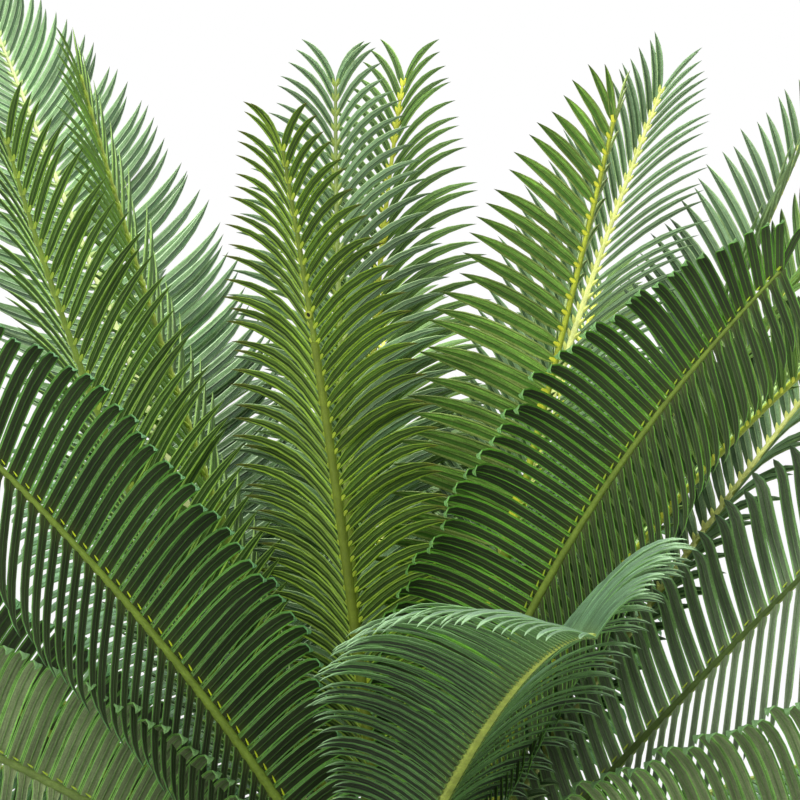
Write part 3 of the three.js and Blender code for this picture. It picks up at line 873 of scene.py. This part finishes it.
def add_leaflets(shell, frond, sizes, slots, ribs):
    """Both rows of a frond's leaflets, and the one that ends it."""
    dice = random.Random(LEAFLET_SEED + frond.number)
    sway = WEBBED_SWAY if frond.posture.webbed else FREE_SWAY
    pitch = CLOSER.get(frond.number, frond.posture.pitch) * MM
    count = round((1 - FIRST_LEAFLET) * frond.length / pitch)
    for k in range(count + 1):
        v = k / count
        length = frond.leaflet_length(v, sizes.leaflet_length)
        for side in (-1, 1):
            leaflet = Leaflet(
                v, side, length * dice.uniform(*LENGTHS),
                frond.leaflet_sweep(v) + dice.uniform(-sway, sway),
                dice.uniform(-sway, sway) * LIFT_SWAY, radians(dice.uniform(-TWIST, TWIST)),
                dice.random())
            add_leaflet(shell, frond, leaflet, pitch, slots, ribs)
    length = frond.leaflet_length(1, sizes.leaflet_length)
    sweep = LAST_SWEEP + max(0, frond.posture.bend)
    last = Leaflet(1, 1, length * LAST_LENGTH, sweep, 0, 0, dice.random())
    add_leaflet(shell, frond, last, pitch, slots, ribs)


# A tint's materials in the order of its colours: for leaflets their roughness, how strongly they
# are streaked, and whether the tip has its tone; for the others their roughness
LEAFLET_PARTS = (
    ("face", 0.44, 0.38, True), ("face_lit", 0.44, 0.38, True), ("under", 0.62, 0.32, False),
    ("under_lit", 0.55, 0.62, True), ("margin", 0.46, 0.30, True),
)
RIB_PARTS = (("rib", 0.45), ("rib_back", 0.5), ("wedge", 0.45))
PIN_PARTS = (
    ("sleeve", SLEEVE_OLIVE, 0.5), ("pin", PIN_YELLOW, 0.5), ("pin_hole_shade", PIN_HOLE_SHADE, 0.7),
)


def frond_materials():
    """The materials of every tint, the sleeve's and the pin's two, and each tint's places."""
    materials = []
    places = {}
    for tint, colours in TINTS.items():
        places[tint] = range(len(materials), len(materials) + len(colours))
        margin = colours[MARGIN]
        plain = (margin, 0)
        for colour, (part, roughness, contrast, tipped) in zip(colours, LEAFLET_PARTS):
            tip = TIPS.get(tint, plain) if tipped else plain
            materials.append(
                leaflet_finish(f"{tint}_{part}", colour, margin, roughness, contrast, tip))
        for colour, (part, roughness) in zip(colours[RIB:], RIB_PARTS):
            materials.append(rib_finish(f"{tint}_{part}", colour, roughness))
    materials.extend(rib_finish(*part) for part in PIN_PARTS)
    return materials, places


FRONDS_A_PIECE = 7


class SAGO_OT_leaflets(bpy.types.Operator):
    """Leaflets of every frond, joined by kind into a few pieces"""

    bl_idname = "sago.leaflets"
    bl_label = "Leaflets"

    def execute(self, context):
        sizes = context.scene.sago_sizes
        materials, places = frond_materials()
        fronds = plant_fronds()
        ribs = rib_tree(fronds)
        for slot, kind, members in by_slot(fronds):
            for start in range(0, len(members), FRONDS_A_PIECE):
                group = members[start:start + FRONDS_A_PIECE]
                shell = Shell()
                for frond in group:
                    add_leaflets(shell, frond, sizes, places[frond.tint], ribs)
                piece = shell.piece(f"leaflets_{kind}_{start // FRONDS_A_PIECE + 1}", materials)
                seat_piece(piece, [f.node for f in group])
        return {"FINISHED"}


# Section of a rib in shares of its width and depth: a low ridge above, a round back
RIB_SECTION = (
    (-0.50, 0.06), (-0.40, 0.36), (-0.14, 0.46), (0.14, 0.46), (0.40, 0.36), (0.50, 0.06),
    (0.44, -0.24), (0.27, -0.44), (0, -0.52), (-0.27, -0.44), (-0.44, -0.24),
)
RIB_SLOTS = (RIB,) * 5 + (BACK,) * 6
RIB_NOTCH = 0.05


def round_section(count):
    """A circle of half shares, as a section."""
    steps = [math.tau * i / count for i in range(count)]
    return [(0.5 * cos(a), 0.5 * sin(a)) for a in steps]


def add_rib(shell, frond, slots):
    """One rib from its seat to its tip, one tone above and one behind, its width swelling a little at
    random from station to station.
    """
    dice = random.Random(frond.number)
    rings = []
    for k, middle in enumerate(frond.middles):
        u = k / RIB_STATIONS
        _, face, side = frond.frame_at(u)
        swell = 1 + dice.uniform(-RIB_NOTCH, RIB_NOTCH) if 0 < k < RIB_STATIONS else 1
        flat = [(x + frond.number, u * frond.length * FLAT_SCALE) for x, _ in RIB_SECTION]
        rings.append(shell.ring(
            middle, side, face, rib_width(u) * swell, rib_depth(u), RIB_SECTION, (u, 0.5), flat))
    shell.run(rings, len(RIB_SLOTS), [slots[s] for s in RIB_SLOTS], slots[BACK], flip=True)


TUBE_COUNT = 12


def add_tube(shell, frond, ends, radius_at, slot, steps):
    """A closed round tube along a frond's rib between two shares of its length."""
    section = round_section(TUBE_COUNT)
    rings = []
    for k in range(steps + 1):
        share = k / steps
        u = mix(*ends, share)
        along, face, side = frond.frame_at(max(0, u))
        middle = frond.middle_at(u) + along * (min(0, u) * frond.length)
        width = 2 * radius_at(share, u)
        flat = [(i, u * frond.length * FLAT_SCALE) for i in range(TUBE_COUNT)]
        rings.append(shell.ring(
            middle, side, face, width, width, section, (share, 0.5), flat))
    shell.run(rings, TUBE_COUNT, [slot] * TUBE_COUNT, slot)


# How far up its rib a sleeve reaches where it isn't the usual share, by the frond's number; then
# where sleeves start, and how much thicker they are over which share of their length
SLEEVE_SHARES = {1: 0.762}
SLEEVE_FROM = 0.02
SLEEVE_STEPS = 28
SLEEVE_LIP = 0.10
LIP_FROM, LIP_TO = 0.97, 0.99

# The pin ring: how far above the sleeve it is, in shares of the rib, its radius, its wire's radius,
# how far its middle stands proud of the rib's back, and points round it and round its wire
PIN_GAP = 0.035
PIN_RING = 2.4 * MM
PIN_WIRE = 0.9 * MM
PIN_PROUD = 0.7 * MM
PIN_COUNTS = (14, 6)


def add_pin_ring(shell, frond, place, slot, hollow):
    """A small ring behind the rib above the sleeve, its hole filled by a near-black plug that is
    painted shade.
    """
    along, face, side = frond.frame_at(place)
    centre = frond.middle_at(place) - face * (0.5 * rib_depth(place) + PIN_PROUD)
    turns, count = PIN_COUNTS
    ways = [swing(side, along, math.tau * k / turns) for k in range(turns)]
    wire = round_section(count)
    rings = []
    for out in ways:
        middle = centre + out * PIN_RING
        rings.append(shell.ring(
            middle, out, face, 2 * PIN_WIRE, 2 * PIN_WIRE, wire, (0, 0.5)))
    for k in range(turns):
        shell.band(rings[k], rings[(k + 1) % turns], count, [slot] * count, flip=True)
    # A near-black plug fills the ring: painted shade standing for its hole.
    ends = []
    for depth in (0, 0.5 * PIN_WIRE):
        middle = centre + face * depth
        points = [middle + out * (PIN_RING - 0.5 * PIN_WIRE) for out in ways]
        ends.append(shell.add(points, None, (0, 0.5)))
    shell.run(ends, turns, [hollow] * turns, hollow)


class SAGO_OT_ribs(bpy.types.Operator):
    """Ribs of every frond, and the sleeves and pin rings of the inner ones"""

    bl_idname = "sago.ribs"
    bl_label = "Ribs"

    def execute(self, context):
        sizes = context.scene.sago_sizes
        materials, places = frond_materials()
        fronds = plant_fronds()
        for slot, kind, members in by_slot(fronds):
            shell = Shell()
            for frond in members:
                add_rib(shell, frond, places[frond.tint])
            seat_piece(shell.piece(f"ribs_{kind}", materials), [f.node for f in members])

        def radius(share, u):
            lip = 1 + SLEEVE_LIP * smooth(LIP_FROM, LIP_TO, share)
            return (0.5 * rib_width(u) + sizes.sleeve_wall) * lip

        sleeve, pin, hollow = range(len(materials) - len(PIN_PARTS), len(materials))
        inner = [f for f in fronds if f.ring == 0]
        shell = Shell()
        for frond in inner:
            reach = SLEEVE_SHARES.get(frond.number, sizes.sleeve_share)
            add_tube(shell, frond, (SLEEVE_FROM, reach), radius, sleeve, SLEEVE_STEPS)
            add_pin_ring(shell, frond, reach + PIN_GAP, pin, hollow)
        seat_piece(shell.piece("sleeves", materials), [f.node for f in inner])
        return {"FINISHED"}


COLLAR_STEPS = 7
COLLAR_SINK = 5 * MM
COLLAR_RADIUS = 0.56 * RIB_WIDTH + 0.6 * MM
COLLAR_FLARE = 3.2 * MM


class SAGO_OT_collars(bpy.types.Operator):
    """Sockets round the feet of the fronds"""

    bl_idname = "sago.collars"
    bl_label = "Collars"

    def execute(self, context):
        sizes = context.scene.sago_sizes
        materials = [bark_finish("collar", (0.16, 0.12, 0.07), (0.44, 0.38, 0.19), 320, 0.7)]

        def radius(share, u):
            return COLLAR_RADIUS + COLLAR_FLARE * (1 - share) ** 2

        for slot, kind, members in by_slot(plant_fronds()):
            shell = Shell()
            for frond in members:
                ends = (-COLLAR_SINK / frond.length, sizes.collar_length / frond.length)
                add_tube(shell, frond, ends, radius, 0, COLLAR_STEPS)
            piece = shell.piece(f"collars_{kind}", materials, sharp=60)
            seat_piece(piece, [f.node for f in members])
        return {"FINISHED"}


def trunk_radius(height):
    """The trunk's radius between its scales, as in the solids."""
    swell = TRUNK_SWELL * sin(math.pi * math.sqrt(max(0, height) / NECK_HEIGHT)) ** 2
    return TRUNK_NECK_RADIUS + swell + FLARE * math.exp(-height / FLARE_HEIGHT)


# The core: points round it and rows up it, how rough it is, how deep under the solids' faces it
# and the ball lie, where its second row is, and the ball's rows as rises over level
CORE_ROUND = 78
CORE_ROWS = 46
CORE_RIPPLE = 0.9 * MM
CORE_SINK = 1.2 * MM
CORE_SEED = 7
BALL_SINK = 0.4 * MM
CORE_FOOT = 2 * MM
BALL_ROWS = range(-4, 90, 8)


def add_core(shell, slot):
    """The trunk's own surface between the scales, flat below, closed by the crown ball above."""
    dice = random.Random(CORE_SEED)
    round_slots = [slot] * CORE_ROUND
    rows = [(trunk_radius(0) - CORE_SINK, 0)]
    for k in range(CORE_ROWS + 1):
        height = mix(CORE_FOOT, NECK_HEIGHT, k / CORE_ROWS)
        rows.append((trunk_radius(height) - CORE_SINK, height))
    for rise in BALL_ROWS:
        height = BALL_Z + BALL_RADIUS * sin(radians(rise))
        if height > NECK_HEIGHT:
            rows.append((BALL_RADIUS * cos(radians(rise)) - BALL_SINK, height))
    previous = None
    bottom = shell.add([Vector((0, 0, 0))], None, (0.2, 0.5))
    for k, (radius, height) in enumerate(rows):
        points = []
        for j in range(CORE_ROUND):
            ripple = dice.uniform(-CORE_RIPPLE, CORE_RIPPLE) if k > 0 else 0
            points.append(outward(FULL_TURN * j / CORE_ROUND) * (radius + ripple) + UP * height)
        ring = shell.add(points, None, (0.12, 0.5))
        if previous is None:
            shell.fan(ring, CORE_ROUND, bottom, round_slots, flip=True)
        else:
            shell.band(previous, ring, CORE_ROUND, round_slots)
        previous = ring
    top = shell.add([UP * (BALL_Z + BALL_RADIUS)], None, (0.4, 0.5))
    shell.fan(previous, CORE_ROUND, top, round_slots)


# Rings of a leaf base, from the trunk to the middle of its cut end: share of its size, share of
# its relief outwards, and rise in shares of its height. Then points round it, how its outline is
# worn, how it leans up and tilts to a side, how much of its place it fills, what its turn may be
# out by in degrees, the scatter of its relief, how far from the ground and the neck the first and
# last rows are, the relief of the lowest, and how many rings lie in the cut end.
SCALE_RINGS = ((1.02, -0.35, 0), (0.98, 0.25, 0.02), (0.86, 0.72, 0.10), (0.66, 1, 0.17),
               (0.52, 0.90, 0.17), (0.28, 0.97, 0.16))
SCALE_POINTS = 14
SCALE_SEED = 11
SCALE_WEAR = (0.92, 1.04)
SCALE_LEAN, SCALE_TILT = 0.35, 0.10
SCALE_FIT = 0.97
SCALE_TURN = 0.8
SCALE_RELIEFS = (0.8, 1.08)
LOWEST_SCALE, SCALES_END = 4 * MM, 3 * MM
WORN_RELIEF = 0.72
CUT_RINGS = 2
ABOVE_GROUND = 0.2 * MM
DIAMOND_POWER = 0.78


def diamond(count):
    """A diamond of half shares with rounded corners."""
    points = []
    for i in range(count):
        angle = math.tau * i / count
        cosine, sine = cos(angle), sin(angle)
        points.append((0.5 * math.copysign(abs(cosine) ** (1 / DIAMOND_POWER), cosine),
                       0.5 * math.copysign(abs(sine) ** (1 / DIAMOND_POWER), sine)))
    return points


def add_scale(shell, turn, height, width, tall, relief, dice, slots):
    """One cut leaf base: a rounded diamond that leans upwards, with a worn end."""
    out = outward(turn)
    slope = (trunk_radius(height + MM) - trunk_radius(height - MM)) / (2 * MM)
    up = (UP + out * slope).normalized()
    around = up.cross(out)
    face = around.cross(up)
    centre = out * trunk_radius(height) + UP * height
    chance = dice.random()
    tilt = dice.uniform(-SCALE_TILT, SCALE_TILT)
    outline = [(x * dice.uniform(*SCALE_WEAR), z * dice.uniform(*SCALE_WEAR))
               for x, z in diamond(SCALE_POINTS)]
    previous = None
    for k, (size, stand, rise) in enumerate(SCALE_RINGS):
        middle = centre + face * (relief * stand) + up * (tall * rise)
        points = []
        for x, z in outline:
            lean = stand * relief * (tilt * x + SCALE_LEAN * z)
            point = middle + around * (x * width * size) + up * (z * tall * size) + face * lean
            point.z = max(point.z, ABOVE_GROUND)
            points.append(point)
        ring = shell.add(points, None, (max(0, stand), chance))
        if previous is not None:
            slot = slots[1] if k >= len(SCALE_RINGS) - CUT_RINGS else slots[0]
            shell.band(previous, ring, SCALE_POINTS, [slot] * SCALE_POINTS)
        previous = ring
    end = centre + face * (relief * 0.93) + up * (tall * SCALE_RINGS[-1][2])
    middle = shell.add([end], None, (0.9, chance))
    shell.fan(previous, SCALE_POINTS, middle, [slots[1]] * SCALE_POINTS)


# Section of a bract or fibre, and its stations in shares of its length, each with its width
BLADE_SECTION = ((-0.5, 0), (-0.2, 0.16), (0.2, 0.16), (0.5, 0), (0, -0.12))
BLADE_STATIONS = ((0, 0.75), (0.25, 1), (0.5, 0.8), (0.75, 0.42))


def add_blade(shell, root, heading, face, length, width, curl, chance, slot):
    """A pointed scale or fibre: a lens-shaped section run along a bending line."""
    count = len(BLADE_SECTION)
    side = heading.cross(face).normalized()
    point = root
    rings = []
    for k, (share, wide) in enumerate(BLADE_STATIONS):
        ahead = swing(heading, face, curl * share)
        up = swing(face, -heading, curl * share)
        if k:
            point = point + ahead * (0.25 * length)
        rings.append(shell.ring(
            point, side, up, width * wide, width * wide, BLADE_SECTION,
            (0.3 + 0.7 * share, chance)))
    end = shell.add([point + ahead * (0.25 * length)], None, (1, chance))
    shell.run(rings, count, [slot] * count, slot, tip=end)


FIBRE_WIDTH = 0.7 * MM


def add_fibres(shell, count, dice, slot):
    """Loose fibres that stand up out of the gaps between the leaf bases."""
    for _ in range(count):
        turn = dice.uniform(0, FULL_TURN)
        height = mix(6 * MM, NECK_HEIGHT, dice.random() ** 0.8)
        out = outward(turn)
        around = UP.cross(out)
        heading = (UP * dice.uniform(0.5, 1) + out * dice.uniform(0.1, 0.5)
                   + around * dice.uniform(-0.5, 0.5)).normalized()
        face = squared(out, heading)
        root = out * (trunk_radius(height) - MM) + UP * height
        length = dice.uniform(9, 20) * MM
        add_blade(shell, root, heading, face, length, FIBRE_WIDTH, dice.uniform(-0.3, 0.9),
                  dice.random(), slot)


class SAGO_OT_trunk(bpy.types.Operator):
    """Trunk with its cut leaf bases and fibres"""

    bl_idname = "sago.trunk"
    bl_label = "Trunk"

    def execute(self, context):
        sizes = context.scene.sago_sizes
        materials = [
            bark_finish("bark", (0.14, 0.10, 0.065), (0.44, 0.34, 0.22), 260),
            bark_finish("cut_end", (0.24, 0.17, 0.10), (0.58, 0.46, 0.31), 420),
            bark_finish("fibre", (0.22, 0.15, 0.08), (0.56, 0.42, 0.25), 300),
        ]
        dice = random.Random(SCALE_SEED)
        shell = Shell()
        add_core(shell, 0)
        tall = 2 * NECK_HEIGHT / sizes.scale_rows
        for row in range(sizes.scale_rows + 1):
            height = mix(LOWEST_SCALE, NECK_HEIGHT - SCALES_END, row / sizes.scale_rows)
            width = math.tau * trunk_radius(height) / sizes.scales_round
            wear = mix(WORN_RELIEF, 1, smooth(0, 0.5, row / sizes.scale_rows))
            for k in range(sizes.scales_round):
                turn = FULL_TURN * (k + 0.5 * (row % 2)) / sizes.scales_round
                relief = sizes.scale_relief * wear * dice.uniform(*SCALE_RELIEFS)
                turn += dice.uniform(-SCALE_TURN, SCALE_TURN)
                add_scale(shell, turn, height, width * SCALE_FIT, tall * SCALE_FIT, relief, dice,
                          (0, 1))
        add_fibres(shell, sizes.fibres, dice, 2)
        seat_piece(shell.piece("trunk_bark", materials, sharp=50), ["trunk"])
        return {"FINISHED"}


BRACT_RISES = (-2, 9, 22, 34, 52, 62, 78, 86)
BRACT_PITCH = 11 * MM
BRACT_WIDTH = 8.5 * MM
BRACT_SINK = 1.5 * MM
BRACT_LEAN = 28
BRACT_SEED = 23
SEAT_ROOM = 7 * MM


class SAGO_OT_crown(bpy.types.Operator):
    """Pointed felted scales that cover the crown between the fronds' feet"""

    bl_idname = "sago.crown"
    bl_label = "Crown"

    def execute(self, context):
        sizes = context.scene.sago_sizes
        materials = [bark_finish("bract", (0.26, 0.18, 0.09), (0.62, 0.48, 0.28), 380, 0.95)]
        dice = random.Random(BRACT_SEED)
        shell = Shell()
        seats = [f.seat * BALL_RADIUS for f in plant_fronds()]
        for rise in BRACT_RISES:
            round_length = math.tau * BALL_RADIUS * cos(radians(rise))
            count = max(3, round(round_length / BRACT_PITCH))
            for k in range(count):
                turn = FULL_TURN * (k + dice.uniform(0.2, 0.8)) / count
                out = pointing(turn, rise)
                root = out * (BALL_RADIUS - BRACT_SINK)
                if min((root - seat).length for seat in seats) < SEAT_ROOM:
                    continue
                lean = pointing(turn, min(88, rise + BRACT_LEAN))
                face = squared(out, lean)
                length = sizes.bract_length * dice.uniform(0.7, 1.1)
                add_blade(shell, root + UP * BALL_Z, lean, face, length, BRACT_WIDTH,
                          -dice.uniform(0.1, 0.5), dice.random(), 0)
        seat_piece(shell.piece("crown_bracts", materials, sharp=60), ["trunk"])
        return {"FINISHED"}


class SagoStudio(bpy.types.PropertyGroup):
    """Camera, floor and lights."""

    distance: FloatProperty(
        name="Camera distance", description="From the camera to the point it looks at",
        default=2.4, min=0.5, unit="LENGTH")
    target: FloatVectorProperty(
        name="Camera target", description="The point the camera looks at",
        default=(0.006, 0, 0.65875), unit="LENGTH")
    fall: FloatProperty(
        name="Camera fall", description="How far the camera looks down",
        default=radians(5), subtype="ANGLE")
    lens: FloatProperty(
        name="Lens", description="Focal length in millimetres on a 36 mm sensor",
        default=144, min=10)
    floor_radius: FloatProperty(
        name="Floor radius", description="Half the width of the pale floor",
        default=3.2, min=0.5, unit="LENGTH")
    floor_fade: FloatProperty(
        name="Floor fade", description="Where the floor has run out into the white surround",
        default=1.45, min=0.3, unit="LENGTH")
    key_power: FloatProperty(
        name="Key light", description="Power of the large light over the front left, in watts",
        default=81, min=0)
    top_power: FloatProperty(
        name="Top light", description="Power of the large light overhead, in watts",
        default=120, min=0)
    fill_power: FloatProperty(
        name="Fill light", description="Power of the light beside the camera, in watts",
        default=14, min=0)
    surround: FloatProperty(
        name="Surround", description="Strength of the even light from all round",
        default=0.36, min=0)


FLOOR_COUNT = 96
LIT_MIDDLE = Vector((0, 0, 0.55))
COOL, WARM = (0.98, 1, 0.98), (1, 0.98, 0.93)


def soft_light(name, place, size, power, colour):
    """A square area light, turned to the plant's middle and out of the camera's sight."""
    data = bpy.data.lights.new(name, "AREA")
    data.size = size
    data.energy = power
    data.color = colour
    made = bpy.data.objects.new(name, data)
    made.visible_camera = False
    bpy.context.scene.collection.objects.link(made)
    made.location = place
    made.rotation_euler = (LIT_MIDDLE - Vector(place)).to_track_quat("-Z", "Y").to_euler()


def white_surround(scene, strength):
    """A plain white backdrop, which lights the plant less than it shows."""
    world = bpy.data.worlds.new("surround")
    world.use_nodes = True
    scene.world = world
    nodes = world.node_tree.nodes
    links = world.node_tree.links
    nodes.clear()
    seen = nodes.new("ShaderNodeBackground")
    seen.inputs["Color"].default_value = (1, 1, 1, 1)
    felt = nodes.new("ShaderNodeBackground")
    felt.inputs["Color"].default_value = (1, 0.995, 0.97, 1)
    felt.inputs["Strength"].default_value = strength
    path = nodes.new("ShaderNodeLightPath")
    join = nodes.new("ShaderNodeMixShader")
    out = nodes.new("ShaderNodeOutputWorld")
    links.new(path.outputs["Is Camera Ray"], join.inputs[0])
    links.new(felt.outputs[0], join.inputs[1])
    links.new(seen.outputs[0], join.inputs[2])
    links.new(join.outputs[0], out.inputs["Surface"])


def floor_material(fade):
    """A pale matt floor that runs out into the white surround."""
    made = Finish("floor", 0.95)
    made.shader.inputs["Base Color"].default_value = linear((0.90, 0.90, 0.89))
    reach = made.node("ShaderNodeVectorMath", made.solid_place())
    reach.operation = "LENGTH"
    share = made.spread(reach.outputs["Value"], 0, 1, 0.55 * fade, fade)
    glow = made.node("ShaderNodeEmission", Strength=1)
    join = made.node("ShaderNodeMixShader", share, made.shader.outputs[0], glow.outputs[0])
    made.link(join.outputs[0], made.tree.nodes["Material Output"].inputs["Surface"])
    return made.material


class SAGO_OT_studio(bpy.types.Operator):
    """Camera, pale floor and soft lights"""

    bl_idname = "sago.studio"
    bl_label = "Studio"

    def execute(self, context):
        scene = context.scene
        studio = scene.sago_studio
        target = Vector(studio.target)
        back = Vector((0, -cos(studio.fall), sin(studio.fall)))
        data = bpy.data.cameras.new("camera")
        data.lens = studio.lens
        camera = bpy.data.objects.new("camera", data)
        scene.collection.objects.link(camera)
        camera.location = target + back * studio.distance
        camera.rotation_euler = (math.pi / 2 - studio.fall, 0, 0)
        scene.camera = camera
        shell = Shell()
        turns = [FULL_TURN * i / FLOOR_COUNT for i in range(FLOOR_COUNT)]
        shell.add([outward(turn) * studio.floor_radius for turn in turns])
        shell.face(range(FLOOR_COUNT))
        floor = shell.piece("floor", [floor_material(studio.floor_fade)])
        soft_light("key", (-1.5, -2.3, 2.3), 1.5, studio.key_power, WARM)
        soft_light("top", (0.2, 0.5, 2.8), 2.2, studio.top_power, COOL)
        soft_light("fill", (1.3, -2.7, 1.0), 1.6, studio.fill_power, WARM)
        white_surround(scene, studio.surround)
        scene.view_settings.view_transform = "Standard"
        return {"FINISHED"}


class SAGO_PT_panel(bpy.types.Panel):
    """Sizes and steps of the plant"""

    bl_idname = "SAGO_PT_panel"
    bl_label = "Sago palm"
    bl_space_type = "VIEW_3D"
    bl_region_type = "UI"
    bl_category = "Sago palm"

    def draw(self, context):
        for settings in (context.scene.sago_sizes, context.scene.sago_studio):
            box = self.layout.box()
            for name in settings.bl_rna.properties.keys():
                if name not in ("rna_type", "name"):
                    box.prop(settings, name)
        for step in STEPS:
            self.layout.operator(step.bl_idname)


STEPS = (
    SAGO_OT_trunk, SAGO_OT_crown, SAGO_OT_collars, SAGO_OT_ribs, SAGO_OT_leaflets,
    SAGO_OT_studio,
)
CLASSES = (SagoSizes, SagoStudio, *STEPS, SAGO_PT_panel)


def register():
    """Registers the classes and hangs their settings on the scene."""
    for item in CLASSES:
        bpy.utils.register_class(item)
    bpy.types.Scene.sago_sizes = PointerProperty(type=SagoSizes)
    bpy.types.Scene.sago_studio = PointerProperty(type=SagoStudio)


def unregister():
    """Takes the settings and the classes away again."""
    del bpy.types.Scene.sago_studio
    del bpy.types.Scene.sago_sizes
    for item in reversed(CLASSES):
        bpy.utils.unregister_class(item)


def main():
    register()
    bpy.ops.sago.trunk()
    bpy.ops.sago.crown()
    bpy.ops.sago.collars()
    bpy.ops.sago.ribs()
    bpy.ops.sago.leaflets()
    bpy.ops.sago.studio()


if __name__ == "__main__":
    main()
